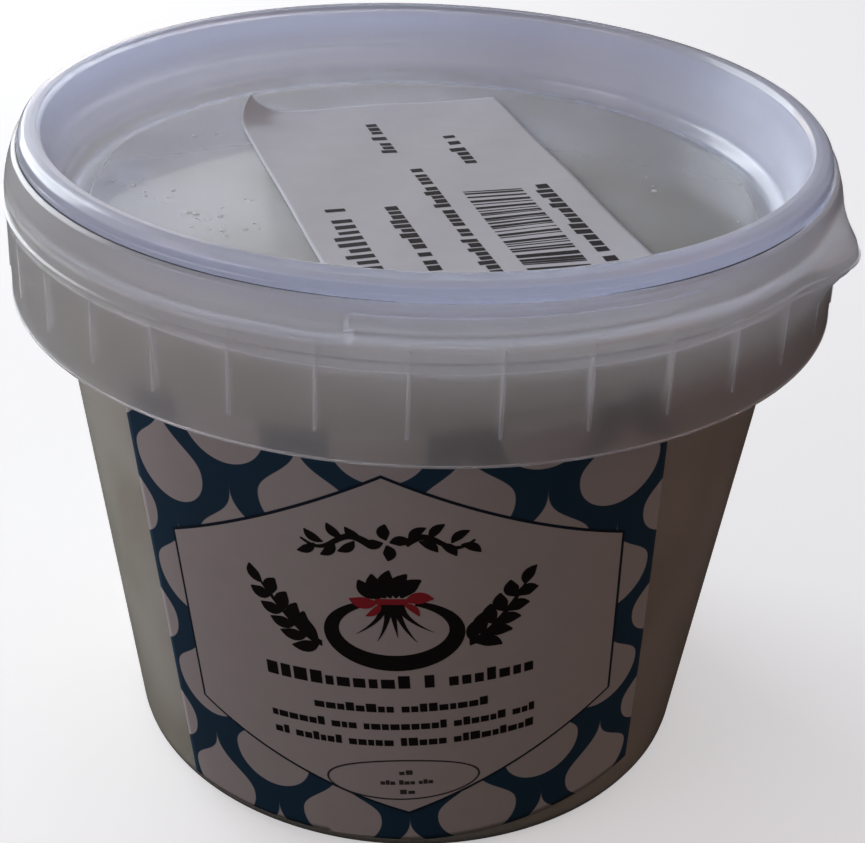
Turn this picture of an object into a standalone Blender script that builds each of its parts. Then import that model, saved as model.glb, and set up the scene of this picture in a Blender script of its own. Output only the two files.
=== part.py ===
"""Shut round pot of burrata in whey: tub, press-on lid, contents, wrap label and lid sticker.

Metres, +Z up. The pot stands on z = 0 with its axis on Z, and its label faces -Y.
"""
import math

import bmesh
import bpy
from mathutils import Vector

MM = 0.001

# Driving dimensions, in millimetres
HEIGHT = 82.5             # floor to the crest of the lid
STEPS = 72                # facets round every turned piece
WALL = 0.8                # moulded wall thickness
GAP = 0.3                 # clearance between neighbouring pieces

BASE_RADIUS = 37.25       # side wall carried down to the floor
BASE_FILLET = 1.8
BASE_THICKNESS = 1.0
WALL_GROWTH = 0.1168      # radius gained for each millimetre of height
WALL_TOP = 79.6           # rim of the side wall, under the lid

SKIRT_BOTTOM = 63.0
SKIRT_BOTTOM_RADIUS = 49.85
RIDGE_HEIGHT = 74.9
RIDGE_RADIUS = 50.1
COLLAR_TOP = 80.25
COLLAR_TOP_RADIUS = 48.3
COLLAR_WALL = 0.85
LEDGE_HEIGHT = 76.6       # web that joins the collar to the side wall

RIB_COUNT = 34
RIB_FIRST_ANGLE = -1.0    # degrees from the front, towards +X
RIB_BOTTOM = 66.2
RIB_THICKNESS = 0.7

PANEL_HEIGHT = 72.5       # sunken centre of the lid, its upper face
PANEL_RADIUS = 43.3
RECESS_TOP_RADIUS = 45.2
LID_WALL = 0.7
LID_RADIUS = 47.9
FLANGE_BOTTOM = 78.4

DISH_FROM = -8.5          # shallow dished stretch of the collar's shoulder, degrees
DISH_TO = 33.0
DISH_EASE = 4.0
DISH_DEPTH = 0.45
DISH_LOW = 75.9
DISH_HIGH = 79.2
DISH_BLEND = 0.6

TAB_ANGLE = 66.0          # lifting lug that flares out of the ridge
TAB_HALF_WIDTH = 13.0
TAB_REACH = 2.7
TAB_ABOVE = 4.0
TAB_BELOW = 5.0

LABEL_WIDTH = 63.0        # paper label, laid on the unrolled wall
LABEL_HEIGHT = 58.5
LABEL_TILT = 4.8          # degrees, its right side higher
LABEL_CENTRE_RADIUS = 41.0
LABEL_SHIFT = (-1.25, 0.75)
LABEL_THICKNESS = 0.2
LABEL_CELLS = 20

STICKER_WIDTH = 37.0
STICKER_LENGTH = 60.0
STICKER_TURN = 17.5
STICKER_CENTRE = (0.7, 1.0)
STICKER_THICKNESS = 0.2
STICKER_CELLS = (12, 16)
CURL_SIZE = 9.0
CURL_HEIGHT = 3.2


def wall_radius(z):
    """Outer radius of the side wall at height z."""
    return BASE_RADIUS + WALL_GROWTH * z


def arc(centre, radius, start, end, count):
    """Points of an arc in the r-z plane, from one angle to the other in degrees."""
    points = []
    for i in range(count + 1):
        a = math.radians(start + (end - start) * i / count)
        points.append((centre[0] + radius * math.cos(a), centre[1] + radius * math.sin(a)))
    return points


def smooth(value):
    """Ease from 0 to 1 as value goes from 0 to 1."""
    t = min(max(value, 0.0), 1.0)
    return t * t * (3.0 - 2.0 * t)


def clear_scene():
    for obj in list(bpy.data.objects):
        bpy.data.objects.remove(obj, do_unlink=True)


def make_material(name, colour, roughness, alpha=1.0):
    material = bpy.data.materials.new(name)
    material.use_nodes = True
    shader = material.node_tree.nodes["Principled BSDF"]
    shader.inputs["Base Color"].default_value = (*colour, 1.0)
    shader.inputs["Roughness"].default_value = roughness
    shader.inputs["Metallic"].default_value = 0.0
    shader.inputs["Alpha"].default_value = alpha
    return material


def add_object(name, mesh, collection, material=None):
    obj = bpy.data.objects.new(name, mesh)
    collection.objects.link(obj)
    if material:
        mesh.materials.append(material)
    return obj


def baked_mesh(obj):
    """Mesh of an object with its modifiers worked in; the object itself is removed."""
    graph = bpy.context.evaluated_depsgraph_get()
    mesh = bpy.data.meshes.new_from_object(obj.evaluated_get(graph))
    bpy.data.objects.remove(obj, do_unlink=True)
    return mesh


def turned_mesh(name, profile, collection):
    """Mesh turned about Z from (radius, height) points that run down the outer side."""
    mesh = bpy.data.meshes.new(name + "_profile")
    points = [(r * MM, 0.0, z * MM) for r, z in profile]
    mesh.from_pydata(points, [(i, i + 1) for i in range(len(points) - 1)], [])
    obj = add_object(name + "_profile", mesh, collection)
    screw = obj.modifiers.new("Screw", 'SCREW')
    screw.steps = STEPS
    screw.render_steps = STEPS
    screw.use_merge_vertices = True
    screw.merge_threshold = 0.00001
    screw.use_smooth_shade = True
    return baked_mesh(obj)


def collar_outer():
    """Outer face of the collar, from its top lip down to the hem of the skirt."""
    ridge_low = RIDGE_HEIGHT - 0.5
    return [
        (COLLAR_TOP_RADIUS, COLLAR_TOP),
        (COLLAR_TOP_RADIUS + 0.3, 79.9),
        (48.85, DISH_HIGH),
        (49.2, DISH_HIGH - DISH_BLEND),
        (49.5, 77.5),
        (49.7, DISH_LOW + DISH_BLEND),
        (49.82, DISH_LOW),
        (49.9, RIDGE_HEIGHT + 0.45),
        (RIDGE_RADIUS, RIDGE_HEIGHT + 0.15),
        (RIDGE_RADIUS, RIDGE_HEIGHT - 0.15),
        (49.85, ridge_low),
        (49.85, 72.6),
        (SKIRT_BOTTOM_RADIUS - 0.03, 70.0),
        (SKIRT_BOTTOM_RADIUS, SKIRT_BOTTOM),
    ]


def tub_profile():
    """Section of the tub: collar, inside of the skirt, side wall, base, inside."""
    low_inner = (SKIRT_BOTTOM_RADIUS - COLLAR_WALL, SKIRT_BOTTOM)
    ledge_low = LEDGE_HEIGHT - WALL
    slope = math.degrees(math.atan(WALL_GROWTH))
    fillet_centre = (wall_radius(BASE_FILLET) - BASE_FILLET, BASE_FILLET)
    inner_foot = wall_radius(BASE_THICKNESS) - WALL
    lip_inner = LID_RADIUS + GAP
    points = [(lip_inner, COLLAR_TOP)]
    points += collar_outer()
    points += [
        low_inner,
        (low_inner[0], 70.0),
        (low_inner[0] - 0.02, 72.6),
        (low_inner[0] - 0.1, ledge_low),
        (wall_radius(ledge_low), ledge_low),
    ]
    points += arc(fillet_centre, BASE_FILLET, -slope, -90.0, 4)
    points += [
        (0.0, 0.0),
        (0.0, BASE_THICKNESS),
        (inner_foot - 1.2, BASE_THICKNESS),
        (inner_foot + 0.12, BASE_THICKNESS + 1.2),
        (wall_radius(WALL_TOP) - WALL, WALL_TOP),
        (wall_radius(WALL_TOP), WALL_TOP),
        (wall_radius(LEDGE_HEIGHT), LEDGE_HEIGHT),
        (lip_inner, LEDGE_HEIGHT),
        (lip_inner, COLLAR_TOP),
    ]
    return points


def front_angle(x, y):
    """Angle about Z in degrees, 0 at the front (-Y) and growing towards +X."""
    return math.degrees(math.atan2(x, -y))


def dish_depth(angle, z):
    """How far the dished stretch sinks into the shoulder."""
    along = smooth((angle - DISH_FROM) / DISH_EASE + 0.5) * smooth((DISH_TO - angle) / DISH_EASE + 0.5)
    up = smooth((z - DISH_LOW) / DISH_BLEND) * smooth((DISH_HIGH - z) / DISH_BLEND)
    return DISH_DEPTH * along * up


def tab_reach(angle, z):
    """How far the lifting lug flares out of the collar."""
    side = abs(angle - TAB_ANGLE) / TAB_HALF_WIDTH
    if side >= 1.0:
        return 0.0
    above = (z - RIDGE_HEIGHT) / TAB_ABOVE
    below = (RIDGE_HEIGHT - z) / TAB_BELOW
    return TAB_REACH * math.cos(side * math.pi / 2.0) ** 2 * (1.0 - smooth(above)) * (1.0 - smooth(below))


def shape_collar(mesh):
    """Sink the dish into the shoulder and flare the lug, by moving points in or out."""
    inner_limit = (RIDGE_RADIUS - COLLAR_WALL - 0.6) * MM
    for vertex in mesh.vertices:
        x, y, z = vertex.co
        radius = math.hypot(x, y)
        if z < 0.9 * SKIRT_BOTTOM * MM or radius < inner_limit:
            continue
        angle = front_angle(x, y)
        height = z / MM
        move = tab_reach(angle, height)
        if radius > inner_limit + 0.4 * MM and height > RIDGE_HEIGHT:
            move -= dish_depth(angle, height)
        factor = (radius + move * MM) / radius
        vertex.co = Vector((x * factor, y * factor, z))


def rib_tool(tools):
    """All the ribs that stiffen the collar: upright webs between skirt and side wall."""
    inner = wall_radius(RIB_BOTTOM) - 0.4
    outer = SKIRT_BOTTOM_RADIUS - COLLAR_WALL + 0.3
    top = LEDGE_HEIGHT - 0.4
    bm = bmesh.new()
    for i in range(RIB_COUNT):
        angle = math.radians(RIB_FIRST_ANGLE + 360.0 * i / RIB_COUNT)
        verts = bmesh.ops.create_cube(bm, size=1.0)["verts"]
        for vert in verts:
            across = vert.co.x * RIB_THICKNESS
            along = inner + (vert.co.y + 0.5) * (outer - inner)
            height = RIB_BOTTOM + (vert.co.z + 0.5) * (top - RIB_BOTTOM)
            x = along * math.sin(angle) + across * math.cos(angle)
            y = -along * math.cos(angle) + across * math.sin(angle)
            vert.co = Vector((x, y, height)) * MM
    bmesh.ops.recalc_face_normals(bm, faces=bm.faces)
    mesh = bpy.data.meshes.new("rib_tool")
    bm.to_mesh(mesh)
    bm.free()
    obj = add_object("rib_tool", mesh, tools)
    obj.hide_render = True
    obj.display_type = 'WIRE'
    return obj


def make_tub(collection, tools, material):
    mesh = turned_mesh("tub", tub_profile(), collection)
    shape_collar(mesh)
    mesh.name = "tub"
    tub = add_object("tub", mesh, collection, material)
    join = tub.modifiers.new("Ribs", 'BOOLEAN')
    join.operation = 'UNION'
    join.solver = 'EXACT'
    join.object = rib_tool(tools)
    mesh.shade_smooth()
    mesh.set_sharp_from_angle(angle=math.radians(35.0))
    return tub


def lid_profile():
    """Section of the lid: crest, outer flange, channel over the wall, plug, panel."""
    recess_slope = (RECESS_TOP_RADIUS - PANEL_RADIUS) / (HEIGHT - PANEL_HEIGHT)
    plug_low = PANEL_RADIUS + LID_WALL
    plug_high = plug_low + recess_slope * (WALL_TOP - PANEL_HEIGHT)
    flange_inner = wall_radius(WALL_TOP) + 0.45
    points = [(0.0, PANEL_HEIGHT), (PANEL_RADIUS - 1.2, PANEL_HEIGHT)]
    points += [(PANEL_RADIUS - 0.3, PANEL_HEIGHT + 0.35), (PANEL_RADIUS + 0.15, PANEL_HEIGHT + 1.2)]
    points += [(RECESS_TOP_RADIUS - 0.1, HEIGHT - 0.7), (RECESS_TOP_RADIUS + 0.25, HEIGHT - 0.2)]
    points += [(46.1, HEIGHT), (46.9, HEIGHT), (47.5, HEIGHT - 0.35)]
    points += [(LID_RADIUS - 0.05, HEIGHT - 1.0), (LID_RADIUS, HEIGHT - 1.9), (LID_RADIUS, FLANGE_BOTTOM)]
    points += [(flange_inner, FLANGE_BOTTOM), (flange_inner, HEIGHT - 1.2)]
    points += [(plug_high + 0.25, HEIGHT - 1.2), (plug_high, WALL_TOP)]
    points += [(plug_low, PANEL_HEIGHT + 0.9), (plug_low - 0.9, PANEL_HEIGHT - LID_WALL)]
    points += [(0.0, PANEL_HEIGHT - LID_WALL)]
    return points


def make_lid(collection, material):
    mesh = turned_mesh("lid", lid_profile(), collection)
    mesh.name = "lid"
    mesh.shade_smooth()
    mesh.set_sharp_from_angle(angle=math.radians(35.0))
    return add_object("lid", mesh, collection, material)


def make_contents(collection, material):
    """Whey with the cheese in it, as one solid up to just under the lid's panel."""
    low = BASE_THICKNESS + GAP
    high = PANEL_HEIGHT - LID_WALL - GAP
    side = WALL + GAP
    profile = [
        (0.0, high),
        (wall_radius(high) - side, high),
        (wall_radius(low + 1.2) - side, low + 1.2),
        (wall_radius(low) - side - 1.2, low),
        (0.0, low),
    ]
    mesh = turned_mesh("contents", profile, collection)
    mesh.name = "contents"
    mesh.shade_smooth()
    mesh.set_sharp_from_angle(angle=math.radians(35.0))
    return add_object("contents", mesh, collection, material)


def on_wall(across, up, offset):
    """Point of the side wall from flat label coordinates, laid on without stretching."""
    sine = math.sin(math.atan(WALL_GROWTH))
    slant = LABEL_CENTRE_RADIUS / sine + up
    distance = math.hypot(across, slant)
    angle = math.atan2(across, slant) / sine
    radius = distance * sine
    height = (radius - BASE_RADIUS) / WALL_GROWTH
    radius += offset
    return Vector((radius * math.sin(angle), -radius * math.cos(angle), height)) * MM


def make_label(collection, material):
    """Paper label wrapped on the front of the side wall."""
    bm = bmesh.new()
    bmesh.ops.create_grid(bm, x_segments=LABEL_CELLS, y_segments=4, size=0.5)
    tilt = math.radians(LABEL_TILT)
    for vert in bm.verts:
        across = vert.co.x * LABEL_WIDTH + LABEL_SHIFT[0]
        up = vert.co.y * LABEL_HEIGHT + LABEL_SHIFT[1]
        turned_across = across * math.cos(tilt) - up * math.sin(tilt)
        turned_up = across * math.sin(tilt) + up * math.cos(tilt)
        vert.co = on_wall(turned_across, turned_up, GAP)
    mesh = bpy.data.meshes.new("label")
    bm.to_mesh(mesh)
    bm.free()
    label = add_object("label", mesh, collection, material)
    solid = label.modifiers.new("Paper", 'SOLIDIFY')
    solid.thickness = LABEL_THICKNESS * MM
    solid.offset = 1.0
    mesh.shade_smooth()
    return label


def make_sticker(collection, material):
    """Paper sticker on the lid's sunken panel, with one corner curled up."""
    bm = bmesh.new()
    bmesh.ops.create_grid(bm, x_segments=STICKER_CELLS[0], y_segments=STICKER_CELLS[1], size=0.5)
    turn = math.radians(STICKER_TURN)
    for vert in bm.verts:
        across = vert.co.x * STICKER_WIDTH
        up = vert.co.y * STICKER_LENGTH
        into_corner = (up - across - (STICKER_LENGTH + STICKER_WIDTH) / 2.0) / CURL_SIZE + 1.0
        lift = CURL_HEIGHT * max(into_corner, 0.0) ** 2
        x = STICKER_CENTRE[0] + across * math.cos(turn) - up * math.sin(turn)
        y = STICKER_CENTRE[1] + across * math.sin(turn) + up * math.cos(turn)
        vert.co = Vector((x, y, PANEL_HEIGHT + GAP + lift)) * MM
    mesh = bpy.data.meshes.new("lid_sticker")
    bm.to_mesh(mesh)
    bm.free()
    sticker = add_object("lid_sticker", mesh, collection, material)
    solid = sticker.modifiers.new("Paper", 'SOLIDIFY')
    solid.thickness = STICKER_THICKNESS * MM
    solid.offset = 1.0
    mesh.shade_smooth()
    return sticker


def main():
    clear_scene()
    scene = bpy.context.scene
    pot = bpy.data.collections.new("burrata_pot")
    tools = bpy.data.collections.new("tools")
    scene.collection.children.link(pot)
    scene.collection.children.link(tools)
    plastic = make_material("natural_polypropylene", (0.55, 0.54, 0.50), 0.35, 0.6)
    lid_plastic = make_material("clear_polypropylene", (0.50, 0.52, 0.58), 0.2, 0.5)
    whey = make_material("whey_and_cheese", (0.52, 0.49, 0.40), 0.3)
    printed = make_material("printed_paper", (0.30, 0.30, 0.36), 0.5)
    paper = make_material("white_paper", (0.62, 0.62, 0.66), 0.6)
    make_tub(pot, tools, plastic)
    make_lid(pot, lid_plastic)
    make_contents(pot, whey)
    make_label(pot, printed)
    make_sticker(pot, paper)


main()
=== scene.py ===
"""Looks of the shut burrata pot: frosted tub, clear lid, cloudy whey, printed papers."""
import math
import random

import bmesh
import bpy
from mathutils import Matrix, Vector


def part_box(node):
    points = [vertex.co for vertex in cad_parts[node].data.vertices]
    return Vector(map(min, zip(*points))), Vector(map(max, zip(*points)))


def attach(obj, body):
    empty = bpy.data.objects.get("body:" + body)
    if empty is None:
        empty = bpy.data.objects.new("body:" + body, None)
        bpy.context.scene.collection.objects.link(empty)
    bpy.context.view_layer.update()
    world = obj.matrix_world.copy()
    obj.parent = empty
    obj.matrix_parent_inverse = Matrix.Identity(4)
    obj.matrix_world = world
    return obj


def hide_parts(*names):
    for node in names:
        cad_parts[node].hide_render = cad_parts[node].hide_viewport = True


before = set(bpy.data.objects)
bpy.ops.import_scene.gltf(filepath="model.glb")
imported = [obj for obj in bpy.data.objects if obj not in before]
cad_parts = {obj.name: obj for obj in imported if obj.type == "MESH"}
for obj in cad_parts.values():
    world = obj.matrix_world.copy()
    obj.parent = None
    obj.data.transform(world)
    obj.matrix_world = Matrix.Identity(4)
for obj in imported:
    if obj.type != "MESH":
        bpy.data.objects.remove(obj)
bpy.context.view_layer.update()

MM = 0.001
TURN = 420                       # facets round the turned plastic pieces

# Tub, in millimetres. Heights and the main radii are taken from the frame.
tub_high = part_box("tub")[1]
lid_low, lid_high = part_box("lid")
whey_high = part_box("contents")[1]
WALL = 0.8
BASE_THICKNESS = 1.0
BASE_FILLET = 1.8
BASE_RADIUS = 37.25
WALL_GROWTH = 0.1168
WALL_TOP = 79.6
SKIRT_BOTTOM = 63.0
RIDGE_RADIUS = 50.1
RIDGE_HEIGHT = 74.9
COLLAR_TOP = tub_high.z / MM
LEDGE_HEIGHT = 76.6
RIB_COUNT = 34
RIB_FIRST_ANGLE = -1.0
RIB_BOTTOM = 66.2
RIB_THICKNESS = 0.4
RIB_INNER, RIB_OUTER = 48.6, 49.92   # from behind the skirt to just proud of its face
RIB_TOP = 75.9
COLLAR_FROM = 48.2               # the collar is what lies outside this radius

# Lid
LID_TOP = lid_high.z / MM
LID_RADIUS = lid_high.x / MM
LID_WALL = 0.7
PANEL_HEIGHT = lid_low.z / MM + LID_WALL
PANEL_RADIUS = 43.3
RECESS_TOP_RADIUS = 45.2
FLANGE_BOTTOM = 78.4

# Stretches of the joint between lid and collar that get a painted shadow line, in degrees from the
# front
GAP_SHADOW_SPANS = ((-78.0, -3.0), (22.0, 58.0))

# Papers
LABEL_WIDTH = 63.6
LABEL_HEIGHT = 62.6
LABEL_FOOT = 1.9                 # the label ends where the foot of the tub rounds under
LABEL_TILT = 4.8
LABEL_TAPER = 0.00095            # the paper is a little wider at its top
LABEL_RADIUS = 41.0
LABEL_SHIFT = (-1.25, 0.75)
STICKER_WIDTH = 37.0
STICKER_LENGTH = 60.0
STICKER_TURN = 17.5
STICKER_CENTRE = (0.7, 1.0)
CURL_SIZE = 7.5
CURL_HEIGHT = 3.4

# How far each layer of the label stands off the wall
PAPER_LIFT = 0.04
SHIELD_LINE_LIFT = 0.18
SHIELD_LIFT = 0.20
INK_LIFT = 0.23
RED_INK_LIFT = 0.25
SHIELD_LINE = 0.38               # width of the line round the shield
STICKER_INK_LIFT = 0.13

# Cheese
CHEESE_RADIUS = 33.0
CHEESE_HALF_HEIGHT = 29.0
CHEESE_PLACE = (2.5, 3.0, 37.5)
CHEESE_LEAN = 24.0               # degrees


# ---------------------------------------------------------------- helpers

def linear(code, alpha=1.0):
    """sRGB hex to a linear colour."""
    out = []
    for i in (0, 2, 4):
        c = int(code[i:i + 2], 16) / 255.0
        out.append(c / 12.92 if c <= 0.04045 else ((c + 0.055) / 1.055) ** 2.4)
    return (*out, alpha)


def smooth(value):
    """Ease from 0 to 1 as the value goes from 0 to 1."""
    t = min(max(value, 0.0), 1.0)
    return t * t * (3.0 - 2.0 * t)


def wall_radius(z):
    """Outer radius of the tapered side wall at this height, in millimetres."""
    return BASE_RADIUS + WALL_GROWTH * z


def rounded(points, segments=5):
    """Polyline of (r, z) points; a third value rounds that corner to this radius."""
    out = []
    count = len(points)
    for i, point in enumerate(points):
        here = Vector(point[:2])
        radius = point[2] if len(point) > 2 else 0.0
        if radius <= 0.0 or i in (0, count - 1):
            out.append(here)
            continue
        back = Vector(points[i - 1][:2]) - here
        ahead = Vector(points[i + 1][:2]) - here
        half = back.angle(ahead) / 2.0
        reach = min(radius / math.tan(half), back.length * 0.48, ahead.length * 0.48)
        start = here + back.normalized() * reach
        end = here + ahead.normalized() * reach
        for k in range(segments + 1):
            t = k / segments
            out.append(start * (1 - t) ** 2 + here * 2 * t * (1 - t) + end * t * t)
    return [(p.x, p.y) for p in out]


def spun(profile, steps=TURN):
    """bmesh turned about Z from (radius, height) points in millimetres."""
    bm = bmesh.new()
    verts = [bm.verts.new((r * MM, 0.0, z * MM)) for r, z in profile]
    edges = [bm.edges.new(pair) for pair in zip(verts, verts[1:])]
    bmesh.ops.spin(bm, geom=verts + edges, cent=(0, 0, 0), axis=(0, 0, 1),
                   angle=math.tau, steps=steps, use_merge=True)
    bmesh.ops.remove_doubles(bm, verts=bm.verts, dist=1e-6)
    bmesh.ops.recalc_face_normals(bm, faces=bm.faces)
    return bm


def finish_piece(name, bm, material, node, smooth_angle=40.0):
    """Mesh object from a bmesh, riding on the pot and standing for a CAD node."""
    mesh = bpy.data.meshes.new(name)
    bm.to_mesh(mesh)
    bm.free()
    mesh.shade_smooth()
    mesh.set_sharp_from_angle(angle=math.radians(smooth_angle))
    mesh.materials.append(material)
    piece = bpy.data.objects.new(name, mesh)
    bpy.context.scene.collection.objects.link(piece)
    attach(piece, "root")
    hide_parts(node)
    return piece


# ---------------------------------------------------------------- materials

def add(tree, kind, inputs=None, **settings):
    """New shader node with its settings, and its inputs set or linked."""
    made = tree.nodes.new(kind)
    for name, value in settings.items():
        setattr(made, name, value)
    for key, value in (inputs or {}).items():
        if isinstance(value, bpy.types.NodeSocket):
            tree.links.new(value, made.inputs[key])
        elif isinstance(value, bpy.types.Node):
            tree.links.new(value.outputs[0], made.inputs[key])
        else:
            made.inputs[key].default_value = value
    return made


def new_material(name):
    """Empty node material, and its tree."""
    material = bpy.data.materials.new(name)
    material.use_nodes = True
    tree = material.node_tree
    tree.nodes.clear()
    return material, tree


def see_through(tree, shader, passed):
    """Output that lets lamps through to what lies behind, as thin clear plastic does."""
    path = add(tree, "ShaderNodeLightPath")
    clear = add(tree, "ShaderNodeBsdfTransparent", {"Color": passed})
    mix = add(tree, "ShaderNodeMixShader", {0: path.outputs["Is Shadow Ray"], 1: shader, 2: clear})
    add(tree, "ShaderNodeOutputMaterial", {"Surface": mix})


def frosted_polypropylene():
    """Natural polypropylene, moulded thin: satin and milky, glows with light behind it."""
    material, tree = new_material("moulded_natural_polypropylene")
    place = add(tree, "ShaderNodeTexCoord").outputs["Object"]
    # flow marks of the melt, about 15 mm long
    cloud = add(tree, "ShaderNodeTexNoise", {"Vector": place, "Scale": 60.0, "Detail": 3.0})
    # all above 0.274: the denoiser draws a false edge where roughness crosses that value
    rough = add(tree, "ShaderNodeMapRange", {"Value": cloud, "To Min": 0.278, "To Max": 0.34})
    shader = add(tree, "ShaderNodeBsdfPrincipled", {
        "Base Color": linear("f6f5f4"), "Roughness": rough, "IOR": 1.49,
        "Transmission Weight": 0.755, "Coat Weight": 0.45, "Coat Roughness": 0.13,
        "Subsurface Weight": 1.0, "Subsurface Radius": (1.0, 1.0, 1.0), "Subsurface Scale": 0.0012})
    see_through(tree, shader, (0.90, 0.895, 0.89, 1.0))
    return material


def thick_polypropylene():
    """The same polypropylene where it is thicker: whiter, because more of it scatters light."""
    material, tree = new_material("moulded_polypropylene_rib")
    place = add(tree, "ShaderNodeTexCoord").outputs["Object"]
    # flow marks of the melt, about 10 mm long
    cloud = add(tree, "ShaderNodeTexNoise", {"Vector": place, "Scale": 90.0, "Detail": 2.0})
    rough = add(tree, "ShaderNodeMapRange", {"Value": cloud, "To Min": 0.28, "To Max": 0.38})
    shader = add(tree, "ShaderNodeBsdfPrincipled", {
        "Base Color": linear("f8f8f8"), "Roughness": rough, "IOR": 1.49,
        "Transmission Weight": 0.66, "Coat Weight": 0.45, "Coat Roughness": 0.12,
        "Subsurface Weight": 1.0, "Subsurface Radius": (1.0, 1.0, 1.0), "Subsurface Scale": 0.001})
    see_through(tree, shader, (0.82, 0.82, 0.81, 1.0))
    return material


def clear_polypropylene():
    """Clarified polypropylene from a polished tool: clear in the thin panel, hazy in the rim."""
    material, tree = new_material("moulded_clarified_polypropylene")
    place = add(tree, "ShaderNodeTexCoord").outputs["Object"]
    # haze in patches of about 20 mm
    haze = add(tree, "ShaderNodeTexNoise", {"Vector": place, "Scale": 45.0, "Detail": 4.0})
    # all below 0.274, for the same reason as the tub's is above it
    rough = add(tree, "ShaderNodeMapRange", {"Value": haze, "To Min": 0.20, "To Max": 0.265})
    height = add(tree, "ShaderNodeSeparateXYZ", {0: place}).outputs["Z"]
    clear = add(tree, "ShaderNodeMapRange", {
        "Value": height, "From Min": PANEL_HEIGHT * MM, "From Max": (PANEL_HEIGHT + 2.5) * MM,
        "To Min": 0.86, "To Max": 0.62})
    shader = add(tree, "ShaderNodeBsdfPrincipled", {
        "Base Color": linear("e8ecfb"), "Roughness": rough, "IOR": 1.49,
        "Transmission Weight": clear, "Coat Weight": 0.5, "Coat Roughness": 0.07,
        "Subsurface Weight": 1.0, "Subsurface Radius": (1.0, 1.0, 1.0), "Subsurface Scale": 0.002})
    see_through(tree, shader, (0.87, 0.88, 0.92, 1.0))
    return material


def whey():
    """Cloudy whey: pale yellow-grey liquid, a wet surface with drifting paler patches, and painted
    shade towards the right of its top.
    """
    material, tree = new_material("cloudy_whey")
    place = add(tree, "ShaderNodeTexCoord").outputs["Object"]
    # patches of settled curd, 15 to 25 mm across
    drift = add(tree, "ShaderNodeTexNoise", {"Vector": place, "Scale": 48.0, "Detail": 4.0})
    colour = add(tree, "ShaderNodeValToRGB", {"Fac": drift})
    colour.color_ramp.elements[0].position = 0.40
    colour.color_ramp.elements[0].color = linear("dad5c2")
    colour.color_ramp.elements[1].position = 0.60
    colour.color_ramp.elements[1].color = linear("f0ede1")
    # painted shade: greyer towards the right of the top
    spot = add(tree, "ShaderNodeSeparateXYZ", {0: place})
    right = add(tree, "ShaderNodeMapRange", {
        "Value": spot.outputs["X"], "From Min": -0.002, "From Max": 0.034, "To Max": 0.38})
    on_top = add(tree, "ShaderNodeMath", {0: spot.outputs["Z"], 1: (PANEL_HEIGHT - 1.2) * MM},
                 operation='GREATER_THAN')
    grey = add(tree, "ShaderNodeMath", {0: right, 1: on_top}, operation='MULTIPLY')
    keep = add(tree, "ShaderNodeMath", {0: 1.0, 1: grey}, operation='SUBTRACT')
    shaded = add(tree, "ShaderNodeVectorMath",
                 {0: colour.outputs["Color"], "Scale": keep.outputs[0]}, operation='SCALE')
    # ripples about 7 mm long
    ripple = add(tree, "ShaderNodeTexNoise", {"Vector": place, "Scale": 140.0, "Detail": 2.0})
    bump = add(tree, "ShaderNodeBump", {"Height": ripple, "Strength": 0.3, "Distance": 0.0005})
    shader = add(tree, "ShaderNodeBsdfPrincipled", {
        "Base Color": shaded, "Roughness": 0.22, "IOR": 1.34, "Normal": bump})
    clear = add(tree, "ShaderNodeBsdfTransparent", {"Color": (0.85, 0.83, 0.72, 1.0)})
    mix = add(tree, "ShaderNodeMixShader", {0: 0.12, 1: shader, 2: clear})
    add(tree, "ShaderNodeOutputMaterial", {"Surface": mix})
    return material


def painted_gap_shadow():
    """Painted shadow for the joint between lid and collar: dull grey-brown, a little uneven."""
    material, tree = new_material("painted_gap_shadow_material")
    place = add(tree, "ShaderNodeTexCoord").outputs["Object"]
    # patches about 8 mm across
    patches = add(tree, "ShaderNodeTexNoise", {"Vector": place, "Scale": 120.0, "Detail": 2.0})
    # painted shadow colours, near black to dark grey-brown
    colour = add(tree, "ShaderNodeValToRGB", {"Fac": patches})
    colour.color_ramp.elements[0].color = linear("171416")
    colour.color_ramp.elements[1].color = linear("4c474b")
    shader = add(tree, "ShaderNodeBsdfPrincipled", {"Base Color": colour, "Roughness": 0.7})
    add(tree, "ShaderNodeOutputMaterial", {"Surface": shader})
    return material


def fresh_cheese():
    """Burrata skin: stretched fresh curd, porcelain white and faintly fibrous."""
    material, tree = new_material("stretched_curd")
    place = add(tree, "ShaderNodeTexCoord").outputs["Object"]
    # fibres of the curd, about 6 mm long
    fibre = add(tree, "ShaderNodeTexNoise", {"Vector": place, "Scale": 160.0, "Detail": 5.0})
    bump = add(tree, "ShaderNodeBump", {"Height": fibre, "Strength": 0.3, "Distance": 0.0005})
    shader = add(tree, "ShaderNodeBsdfPrincipled", {
        "Base Color": linear("f2efe6"), "Roughness": 0.35, "Normal": bump})
    add(tree, "ShaderNodeOutputMaterial", {"Surface": shader})
    return material


def plain_paper(name, code, roughness):
    """Coated paper: flat and even, with a faint calendered mottle."""
    material, tree = new_material(name)
    place = add(tree, "ShaderNodeTexCoord").outputs["Object"]
    # mottle of the coating, about 3 mm across
    mottle = add(tree, "ShaderNodeTexNoise", {"Vector": place, "Scale": 320.0, "Detail": 3.0})
    tone = add(tree, "ShaderNodeMapRange", {"Value": mottle, "To Min": 0.94, "To Max": 1.04})
    colour = add(tree, "ShaderNodeVectorMath",
                 {0: linear(code)[:3], "Scale": tone.outputs[0]}, operation='SCALE')
    bump = add(tree, "ShaderNodeBump", {"Height": mottle, "Strength": 0.05, "Distance": 0.0002})
    shader = add(tree, "ShaderNodeBsdfPrincipled", {
        "Base Color": colour, "Roughness": roughness, "Normal": bump})
    add(tree, "ShaderNodeOutputMaterial", {"Surface": shader})
    return material


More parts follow.
